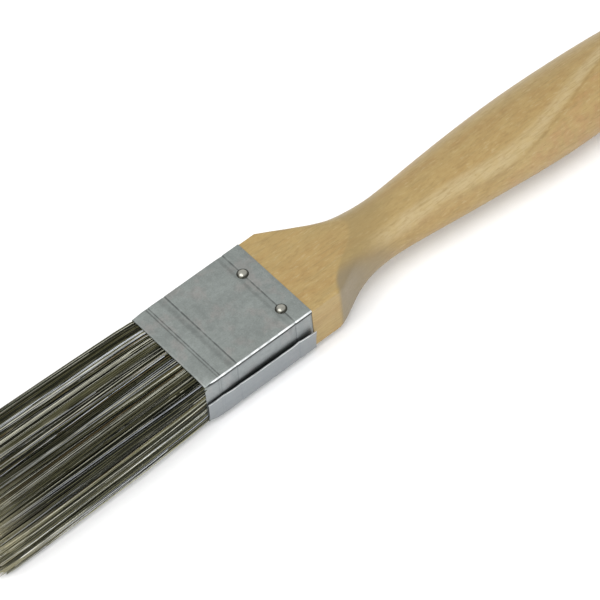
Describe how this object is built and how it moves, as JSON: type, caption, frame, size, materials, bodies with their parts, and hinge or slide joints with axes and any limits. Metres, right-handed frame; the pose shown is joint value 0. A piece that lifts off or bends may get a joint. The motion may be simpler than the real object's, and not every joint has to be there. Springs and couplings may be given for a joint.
{
  "type": "flat paintbrush",
  "caption": "Flat one-inch paintbrush with a lapped steel ferrule, domed pins, synthetic filaments and a contoured birch handle.",
  "frame": {"origin": "middle of the footprint, on the surface that the brush lies on", "axes": "+X from the filament tips to the hanging end of the handle, +Y across the width away from the ferrule's lap seam, +Z out of the front face"},
  "size_m": [0.212, 0.0272, 0.016],
  "materials": {
    "handle_wood": "satin",
    "ferrule_steel": "satin",
    "pin_steel": "polished",
    "plug_wood": "raw",
    "setting_resin": "matte",
    "filament": "satin"
  },
  "bodies": {
    "root": {"handle": "handle_wood", "ferrule": "ferrule_steel", "ferrule_pin_front_left": "pin_steel", "ferrule_pin_front_right": "pin_steel", "ferrule_pin_back_left": "pin_steel", "ferrule_pin_back_right": "pin_steel", "spacer_plug": "plug_wood", "epoxy_setting": "setting_resin", "filament_pack_front": "filament", "filament_pack_back": "filament"}
  },
  "joints": []
}
